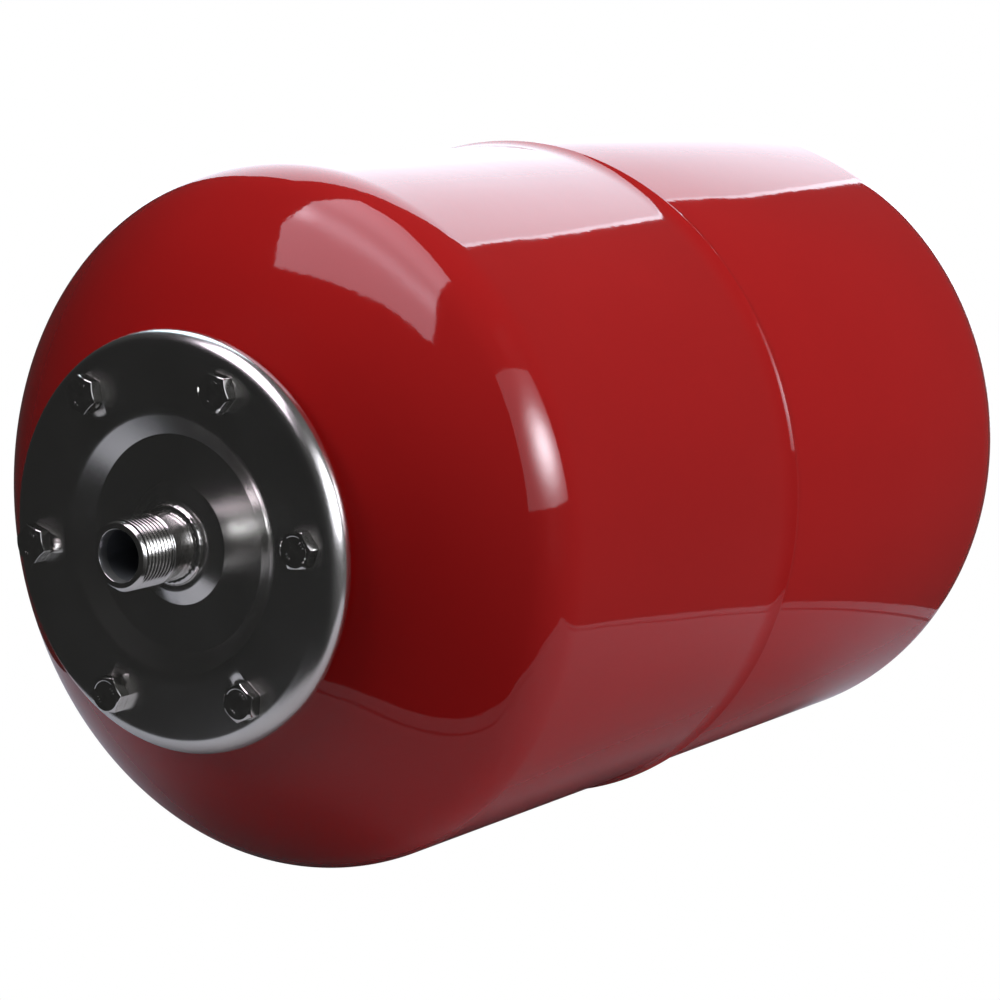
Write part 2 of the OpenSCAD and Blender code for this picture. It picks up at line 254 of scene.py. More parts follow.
# ---------------------------------------------------------------- materials
class Nodes:
    """A short way to write a material's nodes."""

    def __init__(self, name):
        self.mat = bpy.data.materials.new(name)
        self.mat.use_nodes = True
        self.tree = self.mat.node_tree
        self.bsdf = self.tree.nodes["Principled BSDF"]
        self.coord = self.tree.nodes.new("ShaderNodeTexCoord").outputs["Object"]

    def add(self, kind, inputs=None, **props):
        node = self.tree.nodes.new(kind)
        for k, v in props.items():
            setattr(node, k, v)
        for k, v in (inputs or {}).items():
            if isinstance(v, bpy.types.NodeSocket):
                self.tree.links.new(v, node.inputs[k])
            else:
                node.inputs[k].default_value = v
        return node

    def noise(self, scale, detail=2.0, rough=0.5, vector=None, stretch=None):
        vec = vector or self.coord
        if stretch:
            vec = self.add("ShaderNodeMapping", {"Vector": vec, "Scale": stretch}).outputs[0]
        inputs = {"Vector": vec, "Scale": scale, "Detail": detail, "Roughness": rough}
        return self.add("ShaderNodeTexNoise", inputs).outputs["Fac"]

    def ramp(self, fac, lo, hi, a, b):
        return self.add("ShaderNodeMapRange", {"Value": fac, "From Min": lo, "From Max": hi,
                                               "To Min": a, "To Max": b}).outputs["Result"]

    def mix(self, fac, a, b):
        node = self.add("ShaderNodeMix", data_type="RGBA")
        for i, v in ((0, fac), (6, a), (7, b)):
            if isinstance(v, bpy.types.NodeSocket):
                self.tree.links.new(v, node.inputs[i])
            else:
                node.inputs[i].default_value = v if i == 0 else (*v, 1)
        return node.outputs[2]

    def math(self, op, a, b=0.0, c=0.0):
        return self.add("ShaderNodeMath", {0: a, 1: b, 2: c}, operation=op).outputs[0]

    def bump(self, height, distance, strength=1.0, normal=None):
        inputs = {"Height": height, "Distance": distance, "Strength": strength}
        if normal is not None:
            inputs["Normal"] = normal
        return self.add("ShaderNodeBump", inputs).outputs[0]

    def radius(self):
        """Distance from the vessel's axis, in metres."""
        xyz = self.add("ShaderNodeSeparateXYZ", {"Vector": self.coord})
        square = self.math("MULTIPLY", xyz.outputs["X"], xyz.outputs["X"])
        both = self.math("MULTIPLY_ADD", xyz.outputs["Z"], xyz.outputs["Z"], square)
        return self.math("SQRT", both)

    def polar(self):
        """Radius, angle and station as a vector, for marks that run round the axis."""
        xyz = self.add("ShaderNodeSeparateXYZ", {"Vector": self.coord})
        turn = self.math("ARCTAN2", xyz.outputs["Z"], xyz.outputs["X"])
        return self.add("ShaderNodeCombineXYZ",
                        {"X": self.radius(), "Y": self.math("MULTIPLY", turn, 0.02),
                         "Z": xyz.outputs["Y"]}).outputs[0]

    def set(self, **values):
        for k, v in values.items():
            socket = self.bsdf.inputs[k.replace("_", " ")]
            if isinstance(v, bpy.types.NodeSocket):
                self.tree.links.new(v, socket)
            elif isinstance(v, tuple):
                socket.default_value = (*v, 1)
            else:
                socket.default_value = v
        return self.mat


def red_enamel():
    """Gloss stoving enamel: slight orange peel, and a slow unevenness from the pressed steel below."""
    m = Nodes("red_enamel")
    tone = m.noise(9, 3)
    colour = m.mix(m.ramp(tone, 0.3, 0.7, 0, 1), (0.325, 0.0083, 0.0085), (0.350, 0.0093, 0.0095))
    slow = m.bump(m.noise(16, 1.5), 0.00025)
    peel = m.bump(m.noise(160, 2.5, 0.45), 0.000035, normal=slow)
    return m.set(Base_Color=colour, Roughness=m.ramp(m.noise(60, 3), 0.3, 0.7, 0.035, 0.06),
                 Normal=peel, IOR=1.5)


def cover_steel():
    """Zinc-plated pressed steel: fine rolled grain, and a crinkled skin where the rim is bent."""
    m = Nodes("cover_steel")
    r = m.radius()
    grain = m.noise(900, 3, 0.6)
    rings = m.noise(1, 2, 0.6, vector=m.polar(), stretch=(900, 40, 900))
    patches = m.noise(45, 3)
    rim = m.ramp(r, 0.0735, 0.0765, 0, 1)
    crinkle = m.math("MULTIPLY", m.math("MULTIPLY", rim, m.ramp(m.noise(28, 1), 0.45, 0.6, 0, 1)),
                     m.noise(1100, 2, 0.7))
    fine = m.math("MULTIPLY_ADD", rings, 0.5, m.math("MULTIPLY", grain, 0.4))
    height = m.math("MULTIPLY_ADD", crinkle, 7.0, fine)
    rough = m.math("ADD", m.ramp(patches, 0.3, 0.7, 0.19, 0.22), m.math("MULTIPLY", grain, 0.04))
    colour = m.mix(m.ramp(patches, 0.3, 0.7, 0, 1), (0.79, 0.785, 0.76), (0.86, 0.855, 0.83))
    return m.set(Base_Color=colour, Metallic=1.0, Roughness=rough, Normal=m.bump(height, 0.000006))


def nozzle_steel():
    """Machined and zinc-plated steel: turning marks round the axis, and a painted reflection in the bore,
    where a dim bluish grey, barely metallic, stands in for the reflection seen inside it.
    """
    m = Nodes("nozzle_steel")
    turned = m.noise(1, 2, 0.6, vector=m.polar(), stretch=(1500, 20, 5000))
    patches = m.noise(120, 3)
    colour = m.mix(m.ramp(patches, 0.3, 0.7, 0, 1), (0.78, 0.775, 0.75), (0.87, 0.865, 0.84))
    # Painted reflection: inside the bore the colour turns to a dim bluish grey and the metal goes dull,
    # standing in for the grey-blue reflection there.
    outside = m.ramp(m.radius(), 0.00965, 0.00985, 0, 1)
    colour = m.mix(outside, (0.17, 0.18, 0.20), colour)
    return m.set(Base_Color=colour, Metallic=m.ramp(outside, 0, 1, 0.3, 1), Normal=m.bump(turned, 0.000006),
                 Roughness=m.ramp(patches, 0.3, 0.7, 0.12, 0.2))


def bolt_steel():
    """Bright zinc on cold-headed bolts, with small dings and a dull streak here and there."""
    m = Nodes("bolt_steel")
    patches = m.noise(260, 4, 0.6)
    dings = m.noise(700, 3, 0.6)
    colour = m.mix(m.ramp(patches, 0.3, 0.7, 0, 1), (0.70, 0.695, 0.67), (0.88, 0.875, 0.85))
    return m.set(Base_Color=colour, Metallic=1.0, Roughness=m.ramp(patches, 0.35, 0.65, 0.06, 0.14),
                 Normal=m.bump(dings, 0.000007))


def inner_steel():
    """Plain dark steel inside the vessel, with a little scale."""
    m = Nodes("inner_steel")
    scale = m.noise(140, 5, 0.65)
    colour = m.mix(m.ramp(scale, 0.35, 0.65, 0, 1), (0.16, 0.155, 0.15), (0.34, 0.33, 0.32))
    return m.set(Base_Color=colour, Metallic=0.85, Roughness=m.ramp(scale, 0.3, 0.7, 0.35, 0.6),
                 Normal=m.bump(scale, 0.00005))


def rubber(name, dark, light, rough, scale):
    """Moulded rubber with a fine, slightly chalky skin."""
    m = Nodes(name)
    bloom = m.noise(scale / 12, 4, 0.6)
    skin = m.noise(scale, 3, 0.6)
    colour = m.mix(m.ramp(bloom, 0.35, 0.7, 0, 1), dark, light)
    return m.set(Base_Color=colour, Roughness=m.ramp(bloom, 0.3, 0.7, rough, rough + 0.12),
                 Normal=m.bump(skin, 0.00003))


def valve_brass():
    """Turned brass with fine tool marks."""
    m = Nodes("valve_brass")
    turned = m.noise(1, 2, 0.6, vector=m.polar(), stretch=(3000, 30, 9000))
    tarnish = m.noise(350, 4, 0.6)
    colour = m.mix(m.ramp(tarnish, 0.3, 0.7, 0, 1), (0.62, 0.40, 0.15), (0.80, 0.58, 0.27))
    return m.set(Base_Color=colour, Metallic=1.0, Roughness=m.ramp(tarnish, 0.3, 0.7, 0.16, 0.3),
                 Normal=m.bump(turned, 0.000004))


def spring_steel():
    """Drawn steel wire."""
    m = Nodes("spring_steel")
    drawn = m.noise(4000, 3)
    colour = m.mix(m.ramp(drawn, 0.3, 0.7, 0, 1), (0.45, 0.45, 0.44), (0.66, 0.66, 0.65))
    return m.set(Base_Color=colour, Metallic=1.0, Roughness=m.ramp(drawn, 0.3, 0.7, 0.2, 0.35))


def cap_plastic():
    """Moulded black plastic with a fine spark-eroded texture."""
    m = Nodes("cap_plastic")
    texture = m.noise(1600, 2, 0.6)
    wear = m.noise(90, 4, 0.6)
    colour = m.mix(m.ramp(wear, 0.4, 0.7, 0, 1), (0.012, 0.012, 0.013), (0.024, 0.024, 0.025))
    return m.set(Base_Color=colour, Roughness=m.ramp(wear, 0.3, 0.7, 0.34, 0.46),
                 Normal=m.bump(texture, 0.00004))


MATERIALS = {
    "red_enamel": red_enamel(),
    "cover_steel": cover_steel(),
    "nozzle_steel": nozzle_steel(),
    "bolt_steel": bolt_steel(),
    "inner_steel": inner_steel(),
    "bag_rubber": rubber("bag_rubber", (0.013, 0.013, 0.014), (0.030, 0.029, 0.028), 0.5, 900),
    "seal_rubber": rubber("seal_rubber", (0.010, 0.010, 0.011), (0.020, 0.020, 0.020), 0.38, 2500),
    "core_seal": rubber("core_seal", (0.55, 0.54, 0.50), (0.72, 0.71, 0.68), 0.4, 3000),
    "valve_brass": valve_brass(),
    "spring_steel": spring_steel(),
    "cap_plastic": cap_plastic(),
}


def piece(name, shape, slot, body, node, sharp=35):
    obj = finish_mesh(name, shape[0], shape[1], MATERIALS[slot], body, node, sharp)
    return obj


# ---------------------------------------------------------------- shells
def outward(points, sign, base):
    return [(r, base + sign * h) for r, h in points]


def bell(t, length=11.5, crest=0.5):
    """The belled end of the front shell at depth t, from its rounded free edge to the straight wall."""
    rise = BELL_R - VESSEL_R
    turn = 1 - crest / length
    k = rise / (turn ** 3 + 1.5 * turn ** 2 * crest / length)
    out = []
    for i in range(7):
        v = i / 6
        out.append((VESSEL_R - t + rise - 1.5 * k * turn ** 2 * crest / length * v * v, SEAM - crest * v))
    for i in range(1, 25):
        u = turn * (1 - i / 24)
        out.append((VESSEL_R - t + k * u ** 3, SEAM - length * (1 - u)))
    return out


seat_r, bend = 72.0, 2.5
wall_r = seat_r + bend
outer = (bell(0) + outward(dome(0, wall_r), -1, FRONT_WALL)
         + arc(seat_r, SEAT + bend, bend, 0, -math.pi / 2, 8)
         + [(50, SEAT)])
inner = (bell(SHELL_T) + outward(dome(SHELL_T, wall_r - SHELL_T), -1, FRONT_WALL)
         + arc(seat_r, SEAT + bend, bend - SHELL_T, 0, -math.pi / 2, 6)
         + [(50, SEAT + SHELL_T)])
front = piece("front_shell_enamel", solid(outer + inner[::-1], 320), "red_enamel", "vessel", "front_shell")
cut_bolt_holes(front, SEAT - 1, SEAT + SHELL_T + 1)

hole_r, neck_in = 11.05, 1.4
outer = [(VESSEL_R - neck_in, SEAM - 5), (VESSEL_R, SEAM)] + outward(dome(0, hole_r), 1, REAR_WALL)
inner = [(r - SHELL_T, s) for r, s in outer[:2]] + outward(dome(SHELL_T, hole_r), 1, REAR_WALL)
piece("rear_shell_enamel", solid(outer + inner[::-1], 320), "red_enamel", "vessel", "rear_shell")


def seam_shape(r, s, a):
    """A machine weld: its surface swells very slightly as the torch moves on."""
    lift = r - VESSEL_R
    fade = min((s - SEAM) / 1.5, 1)
    return VESSEL_R + lift * (1 + fade * (0.04 * math.sin(90 * a) + 0.05 * math.sin(7 * a + 1) - 0.05)), s


leg = BELL_R - VESSEL_R
bead = [(VESSEL_R + leg * (1 - u) ** 5 * (1 + 5 * u), SEAM + 5 * u) for u in [i / 24 for i in range(25)]]
piece("seam_weld_enamel", solid([(VESSEL_R, SEAM)] + bead, 768, seam_shape), "red_enamel", "vessel",
      "seam_weld", 50)

# ---------------------------------------------------------------- cover plate
rim_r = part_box("cover_plate")[1].x / MM - RIM_ROLL
top = soften([(SHANK_R, BOSS)] + flank(RAISED, BOSS, 1, 0, 12) + flank(RECESS, FACE, -1, 0, 16)[::-1]
             + arc(rim_r, 0, RIM_ROLL, -math.pi / 2, RIM_CURL, 32), 0.6)
under = ([(SHANK_R, BOSS + COVER_T)] + flank(RAISED, BOSS, 1, COVER_T, 8)
         + flank(RECESS, FACE, -1, COVER_T, 10)[::-1]
         + arc(rim_r, 0, RIM_ROLL - COVER_T, -math.pi / 2, RIM_CURL, 18))
cover = piece("cover_plate_zinc", solid(top + under[::-1], 320), "cover_steel", "vessel", "cover_plate")
cut_bolt_holes(cover, FACE - 1, FACE + COVER_T + 1)

# ---------------------------------------------------------------- nozzle
PITCH = 1.814


def thread(crest_r, pitch, start, end, depth):
    """A shape function that cuts a rounded V thread between two stations, faded in and out."""

    def cut(r, s, a):
        if r < crest_r - depth - 0.3 or s < start or s > end:
            return r, s
        phase = (s / pitch - a / TAU) % 1.0
        tooth = abs(2 * phase - 1)
        tooth = min(max((tooth - 0.13) / 0.74, 0), 1)
        tooth = 0.5 * tooth + 0.5 * tooth * tooth * (3 - 2 * tooth)
        fade = min(max((end - s) / pitch, 0), 1) * min(max((s - start) / (0.6 * pitch) + 0.3, 0), 1)
        return min(r, crest_r - depth * (1 - tooth) * fade), s

    return cut


thread_start, thread_end = -NOZZLE_REACH + 1.5, -NOZZLE_REACH + 16.7
steps = 230
outer = ([(9.6, -NOZZLE_REACH + 4.6), (9.7, -NOZZLE_REACH + 4.4), (9.7, -NOZZLE_REACH + 0.3)]
         + soften([(10.0, -NOZZLE_REACH), (THREAD_R - 1.5, -NOZZLE_REACH), (THREAD_R, thread_start)], 1.1)
         + [(THREAD_R, thread_start + (thread_end - thread_start) * i / steps) for i in range(1, steps + 1)]
         + [(SHANK_R, thread_end + 0.1), (SHANK_R, BOSS + 3), (9.6, BOSS + 3)])
piece("nozzle_turned", solid(outer, 192, thread(THREAD_R, PITCH, thread_start - 0.4, thread_end, 1.0)),
      "nozzle_steel", "vessel", "nozzle", 50)


def weld_shape(r, s, a):
    """A hand-laid bead: overlapping ripples that lean round the nozzle."""
    out = r - SHANK_R
    height = BOSS - s
    ripple = 0.975 + 0.012 * math.sin(34 * a + 2.2 * out) + 0.012 * math.sin(5 * a + 0.8)
    return SHANK_R + out * ripple, BOSS - height * ripple


bead = [(SHANK_R + 2.4 * math.cos(a), BOSS - 2.2 * math.sin(a))
        for a in [math.pi / 2 * i / 14 for i in range(15)]]
piece("nozzle_weld_bead", solid([(SHANK_R, BOSS)] + bead, 384, weld_shape), "nozzle_steel", "vessel",
      "nozzle_weld", 50)


# ---------------------------------------------------------------- bolts
DISH = 0.12     # depth of the shallow dish in a head's face


def polar_point(r, a):
    return Vector((r * math.cos(a), r * math.sin(a)))


def hexagon(af, corner, per_side):
    """Outline of a hexagon with rounded corners, as (angle, radius), first corner at angle 0."""
    points = []
    centre = (af / 2 - corner) / math.cos(math.pi / 6)
    for k in range(6):
        here, ahead = TAU * k / 6, TAU * (k + 1) / 6
        bend = [polar_point(centre, here) + polar_point(corner, here - math.pi / 6 + math.pi / 12 * i)
                for i in range(5)]
        end = polar_point(centre, ahead) + polar_point(corner, ahead - math.pi / 6)
        points += bend + [bend[-1].lerp(end, i / per_side) for i in range(1, per_side)]
    return [(math.atan2(p.y, p.x), p.length) for p in points]


def hex_head(outline, low, high, top_r):
    """Rings of a hexagonal head from its chamfered face at low to its flat face at high."""
    steepness = math.tan(math.radians(60))
    bevel_in, bevel_down, edge = 0.16, 0.24, 0.12
    rings = [[(r, a, low + d) for a, _ in outline]
             for r, d in ((top_r * 0.86, DISH), (top_r * 0.9, 0.0), (top_r - edge, 0.0), (top_r, 0.05))]
    for inset, drop in ((bevel_in, 0.0), (0.0, bevel_down)):
        rings.append([(rad - inset, a, low + (0.05 + drop + max(rad - bevel_in - top_r, 0) / steepness))
                      for a, rad in outline])
    rings.append([(rad, a, high - edge) for a, rad in outline])
    rings.append([(rad - edge, a, high) for a, rad in outline])
    return rings


def revolve_rings(rings, cap_low, extra, centre, turn):
    """Points of rings given as (r, angle, station) about a bolt's axis, closed by extra rings."""
    n = len(rings[0])
    angles = [a for _, a, _ in rings[0]]
    rings = rings + [[(r, a, s) for a in angles] for r, s in extra[:-1]]
    verts = []
    for ring in rings:
        for r, a, s in ring:
            verts.append((centre[0] + r * math.cos(a + turn), DATUM + s,
                          centre[1] + r * math.sin(a + turn)))
    faces = []
    for i in range(len(rings) - 1):
        for k in range(n):
            m = (k + 1) % n
            faces.append((i * n + k, i * n + m, (i + 1) * n + m, (i + 1) * n + k))
    first, last = len(verts), len(verts) + 1
    verts += [(centre[0], DATUM + cap_low, centre[1]), (centre[0], DATUM + extra[-1][1], centre[1])]
    base = (len(rings) - 1) * n
    for k in range(n):
        m = (k + 1) % n
        faces.append((first, m, k))
        faces.append((last, base + k, base + m))
    return verts, faces


def raised_dash(centre, turn, radius, angle, length, width, top_s, height):
    """A small raised bar on a bolt head, pointing at the head's centre."""
    verts = []
    a = turn + angle
    along = (math.cos(a), math.sin(a))
    across = (-along[1], along[0])
    for scale, s in ((1.0, top_s + 0.2), (1.0, top_s), (0.62, top_s - height)):
        for u, v in ((-1, -1), (1, -1), (1, 1), (-1, 1)):
            du = u * (length / 2 - (1 - scale) * width / 2)
            dv = v * width / 2 * scale
            verts.append((centre[0] + (radius + du) * along[0] + dv * across[0], DATUM + s,
                          centre[1] + (radius + du) * along[1] + dv * across[1]))
    faces = [(0, 1, 2, 3), (8, 9, 10, 11)]
    for level in (0, 4):
        for k in range(4):
            m = (k + 1) % 4
            faces.append((level + k, level + m, level + 4 + m, level + 4 + k))
    return verts, faces


verts, faces = [], []


def add_part(part):
    base = len(verts)
    verts.extend(part[0])
    faces.extend([tuple(base + i for i in f) for f in part[1]])


head_top = FACE - HEAD_H
head_outline = hexagon(HEX_AF, 0.35, 8)
for b in range(6):
    centre = bolt_centre(b)
    turn = math.radians(HEAD_TURNS[b])
    rings = hex_head(head_outline, head_top, FACE, HEX_AF / 2 - 0.3)
    extra = [(5.8, FACE), (BOLT_R, FACE), (BOLT_R, FACE + BOLT_LEN - 1), (3.2, FACE + BOLT_LEN),
             (0, FACE + BOLT_LEN)]
    add_part(revolve_rings(rings, head_top + DISH, extra, centre, turn))
    for side in (0, math.pi):
        for k in (-1, 0, 1):
            angle = side + 0.28 * k + 0.5
            add_part(raised_dash(centre, turn, 3.9, angle, 0.9, 0.24, head_top + DISH, 0.07))
piece("flange_bolts_zinc", (verts, faces), "bolt_steel", "vessel", "flange_bolts", 24)

# ---------------------------------------------------------------- bag
lip_low = FACE + 3
outer = ([(60, lip_low), (60, SEAT), (49.5, SEAT)] + s_curve(49.5, 13, 100, 62, 40)
         + [(100, 62 + (250 - 62) * i / 40) for i in range(1, 41)])
inner = ([(52.5, lip_low), (47, lip_low + 2)] + [(r, s + 2.5) for r, s in s_curve(47, 13, 97.5, 62, 40)]
         + [(97.5, 64.5 + (250 - 64.5) * i / 40) for i in range(1, 41)])
bag = piece("bag_wall", solid(outer + inner[::-1], 160), "bag_rubber", None, "membrane")
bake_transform(bag)

# ---------------------------------------------------------------- air valve
boss = soften([(6.1, APEX - 4), (11, APEX - 4), (11, APEX + 7), (6.1, APEX + 7)], 0.6)
piece("valve_boss_enamel", solid(boss, 128), "red_enamel", "vessel", "valve_boss", 50)


def boss_weld_shape(r, s, a):
    ripple = min(0.95 + 0.05 * math.sin(30 * a) - 0.03 * math.sin(4 * a), 1.0)
    return 11 + (r - 11) * ripple, s


foot = APEX - 0.3
fillet = [(14, foot - 0.2), (13.0, foot + 0.35), (12.05, foot + 1.05), (11.4, foot + 1.75),
          (11, foot + 2.4)]
piece("valve_boss_weld_enamel", solid([(11, foot)] + fillet, 256, boss_weld_shape), "red_enamel", "vessel",
      "valve_boss_weld", 50)

# Valve body: threaded shank, hexagon and threaded stem, turned from one bar
hex_low, hex_top, stem_top, stem_r = APEX + 8.3, APEX + 12.3, APEX + 20, 3.85
outline = hexagon(17, 0.3, 8)
angles = [a for a, _ in outline]
fine = thread(stem_r, 0.794, hex_top + 1.0, stem_top - 0.3, 0.42)


def ring_at(r, s, shape=None):
    ring = []
    for a in angles:
        rr, ss = shape(r, s, a) if shape else (r, s)
        ring.append((rr * math.cos(a), DATUM + ss, rr * math.sin(a)))
    return ring


def hex_ring(s, limit):
    return [(min(r, limit) * math.cos(a), DATUM + s, min(r, limit) * math.sin(a)) for a, r in outline]


rings = [ring_at(1.8, APEX - 8), ring_at(5.6, APEX - 8), ring_at(6, APEX - 7.6), ring_at(6, hex_low),
         hex_ring(hex_low, 8.2), hex_ring(hex_low + 0.35, 9.0), hex_ring(hex_low + 0.6, 99),
         hex_ring(hex_top - 0.6, 99), hex_ring(hex_top - 0.35, 9.0), hex_ring(hex_top, 8.2),
         ring_at(stem_r, hex_top)]
stem_steps = 150
rings += [ring_at(stem_r, hex_top + 0.1 + (stem_top - 0.4 - hex_top - 0.1) * i / stem_steps, fine)
          for i in range(stem_steps + 1)]
rings += [ring_at(stem_r - 0.35, stem_top), ring_at(2.85, stem_top), ring_at(2.6, stem_top - 0.25),
          ring_at(2.6, APEX + 4), ring_at(1.8, APEX + 4)]
piece("valve_body_brass", surface(rings), "valve_brass", "vessel", "valve_body", 30)

# Valve spring: round wire on a helix, between the barrel and the pin
wire_r, spring_r, turns = 0.2, 1.25, 5
low = APEX + 10.5 + wire_r + 0.05
rise = 16.8 - 10.5 - 2 * (wire_r + 0.05)
per_turn, sides = 40, 12
verts, faces = [], []
count = turns * per_turn
for i in range(count + 1):
    t = TAU * i / per_turn
    for j in range(sides):
        v = TAU * j / sides
        rr = spring_r + wire_r * math.cos(v)
        s = low + rise * i / count + wire_r * math.sin(v)
        verts.append((rr * math.cos(t), DATUM + s, -rr * math.sin(t)))
for i in range(count):
    for j in range(sides):
        k = (j + 1) % sides
        faces.append((i * sides + j, (i + 1) * sides + j, (i + 1) * sides + k, i * sides + k))
faces += [tuple(range(sides)), tuple(count * sides + j for j in reversed(range(sides)))]
spring = piece("valve_spring_wire", (verts, faces), "spring_steel", None, "valve_core_spring", 60)
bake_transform(spring)

# Cap
cap_r, cap_low, cap_top, cap_round = 15.5, APEX + 1.5, APEX + 27, 5.0


def rib_shape(r, s, a):
    """Twelve grip ribs that fade out below the cap's rounded edge."""
    if r < 15.45:
        return r, s
    rib_centre, rib_r = cap_r - 0.4, 1.0
    off = (a + TAU / 24) % (TAU / 12) - TAU / 24
    across = rib_centre * math.sin(off)
    reach = rib_centre * math.cos(off) + math.sqrt(rib_r ** 2 - across ** 2) if abs(across) < rib_r else 0
    end = cap_low + 20
    fade = min(max((s - cap_low - 1.5) / 0.5 + 1, 0), 1) * min(max((end - s) / 0.8, 0), 1)
    lift = max(reach - r, 0)
    return r + lift * fade, s


outer = ([(cap_r - 2.6, cap_low), (cap_r - 0.4, cap_low), (cap_r, cap_low + 0.4)]
         + [(cap_r, cap_low + 0.4 + (cap_top - cap_round - cap_low - 0.4) * i / 48) for i in range(1, 49)]
         + arc(cap_r - cap_round, cap_top - cap_round, cap_round, 0, math.pi / 2, 16)[1:]
         + [(6, cap_top), (5.6, cap_top - 0.25), (0, cap_top - 0.25)])
inner = [(cap_r - 2.6, cap_top - 4)] + arc(cap_r - 4.6, cap_top - 4, 2, 0, math.pi / 2, 8)[1:]
profile = [(0, cap_top - 2)] + inner[::-1] + outer
piece("valve_cap_ribbed", solid(profile, 360, rib_shape), "cap_plastic", "cap", "valve_cap", 40)

# ---------------------------------------------------------------- CAD nodes that keep their shape
KEPT = {
    "mouth_ring": "inner_steel", "weld_nuts": "inner_steel", "membrane_crown": "bag_rubber",
    "valve_o_ring": "seal_rubber", "valve_core_barrel": "valve_brass", "valve_core_gasket": "core_seal",
    "valve_core_pin": "valve_brass", "valve_core_seal": "seal_rubber", "valve_cap_gasket": "seal_rubber",
}
for name, slot in KEPT.items():
    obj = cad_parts[name]
    obj.data.materials.clear()
    obj.data.materials.append(MATERIALS[slot])

# ---------------------------------------------------------------- camera
AZIMUTH, ELEVATION = math.radians(35.9), math.radians(9.6)
back = Vector((math.sin(AZIMUTH) * math.cos(ELEVATION), -math.cos(AZIMUTH) * math.cos(ELEVATION),
               math.sin(ELEVATION)))
right = Vector((math.cos(AZIMUTH), math.sin(AZIMUTH), 0))
up = back.cross(right)
cam_data = bpy.data.cameras.new("camera")
cam = bpy.data.objects.new("camera", cam_data)
bpy.context.scene.collection.objects.link(cam)
cam_data.lens, cam_data.sensor_width = 110.74, 36
cam.location = Vector((0, 0.2059, 0)) + back * 1.2774 + right * 0.01122 - up * 0.00884
cam.rotation_mode = "QUATERNION"
cam.rotation_quaternion = (-back).to_track_quat("-Z", "Y")
cam_data.clip_start, cam_data.clip_end = 0.05, 60
bpy.context.scene.camera = cam

# ---------------------------------------------------------------- light
away = Vector((-math.sin(AZIMUTH), math.cos(AZIMUTH), 0))


def spread(y, u, w, z):
    """A point at height z: u away from the camera and w to its right, from the axis at y."""
    p = Vector((0, y, z)) + away * u + right * w
    return tuple(p)


def glow(name, colour, strength, spots=()):
    """Emission with soft brighter spots; each spot is (centre, size, peak)."""
    mat = bpy.data.materials.new(name)
    mat.use_nodes = True
    tree = mat.node_tree
    tree.nodes.clear()
    shine = tree.nodes.new("ShaderNodeEmission")
    shine.inputs["Color"].default_value = (*colour, 1)
    shine.inputs["Strength"].default_value = strength
    coord = tree.nodes.new("ShaderNodeTexCoord").outputs["Object"]
    total = None
    for centre, size, peak in spots:
        steps = [("SUBTRACT", centre), ("DIVIDE", size)]
        vec = coord
        for op, value in steps:
            node = tree.nodes.new("ShaderNodeVectorMath")
            node.operation = op
            tree.links.new(vec, node.inputs[0])
            node.inputs[1].default_value = value
            vec = node.outputs[0]
        square = tree.nodes.new("ShaderNodeVectorMath")
        square.operation = "DOT_PRODUCT"
        tree.links.new(vec, square.inputs[0])
        tree.links.new(vec, square.inputs[1])
        fall = tree.nodes.new("ShaderNodeMath")
        fall.operation = "POWER"
        fall.inputs[0].default_value = 0.5
        tree.links.new(square.outputs["Value"], fall.inputs[1])
        both = tree.nodes.new("ShaderNodeMath")
        both.operation = "MULTIPLY_ADD"
        tree.links.new(fall.outputs[0], both.inputs[0])
        both.inputs[1].default_value = peak
        both.inputs[2].default_value = strength
        if total:
            tree.links.new(total, both.inputs[2])
        total = both.outputs[0]
    if total:
        tree.links.new(total, shine.inputs["Strength"])
    out = tree.nodes.new("ShaderNodeOutputMaterial")
    tree.links.new(shine.outputs[0], out.inputs["Surface"])
    return mat


def card(name, corners, material):
    """A flat panel that lights the object or shows in its gloss, but is hidden from the camera."""
    mesh = bpy.data.meshes.new(name)
    mesh.from_pydata(corners, [], [tuple(range(len(corners)))])
    mesh.materials.append(material)
    obj = bpy.data.objects.new(name, mesh)
    bpy.context.scene.collection.objects.link(obj)
    obj.visible_camera = False
    return obj


def sky(points, z=1.0):
    return [(x, y, z) for x, y in points]


# The panel overhead shows a bright ridge in the gloss; it lies along the panel's own X
ridge, swing = Vector((-0.02, -0.336, 1.0)), math.radians(-22)
outline = [(-0.45, -0.51), (-0.47, -0.26), (-0.33, -0.07), (-0.18, 0.25), (0.04, 0.22), (0.42, 0.02),
           (0.40, -0.46), (0.57, -0.77), (0.20, -0.62)]
local = [Vector((x - ridge.x, y - ridge.y)) for x, y in outline]
panel = card("overhead_softbox", [(v.x * math.cos(swing) + v.y * math.sin(swing),
                                   v.y * math.cos(swing) - v.x * math.sin(swing), 0) for v in local],
             glow("overhead_glow", (1.13, 1.0, 1.15), 2.4,
                  [((0, 0, 0), (10, 0.03, 1), 1.6), ((0, 0.25, 0), (10, 0.2, 1), 1.3),
                   ((-0.40, 0, 0), (0.06, 0.03, 1), 2.5)]))
panel.location, panel.rotation_euler = ridge, (0, 0, swing)
panel.visible_diffuse = False
fill = card("overhead_fill", sky(outline), glow("overhead_fill_glow", (1, 1, 1), 4.6))
fill.visible_glossy = False

BACK_COLOUR = (0.86, 1.0, 1.12)
edge = [(0.52, -0.138), (0.80, 1.05), (0.78, 1.45), (0.46, 1.82), (-0.66, 2.07)]
low_left, high_left = (-0.2, -0.138), (-0.62, 1.3)
card("backdrop", [spread(0.024, 1.2, w, z) for w, z in [low_left] + edge + [high_left]],
     glow("backdrop_glow", BACK_COLOUR, 2.8,
          [((0, 0, 0.1), (10, 10, 0.35), -0.35), ((spread(0, 1.2, 0.75, 0)[0], 0, 0), (0.2, 10, 10), 0.5)]))
card("backdrop_edge", [spread(0.024, 1.2, w, z) for w, z in edge[:3]]
     + [spread(0.024, 1.2, w + 0.03, z) for w, z in edge[2::-1]],
     glow("backdrop_edge_glow", BACK_COLOUR, 5.0))

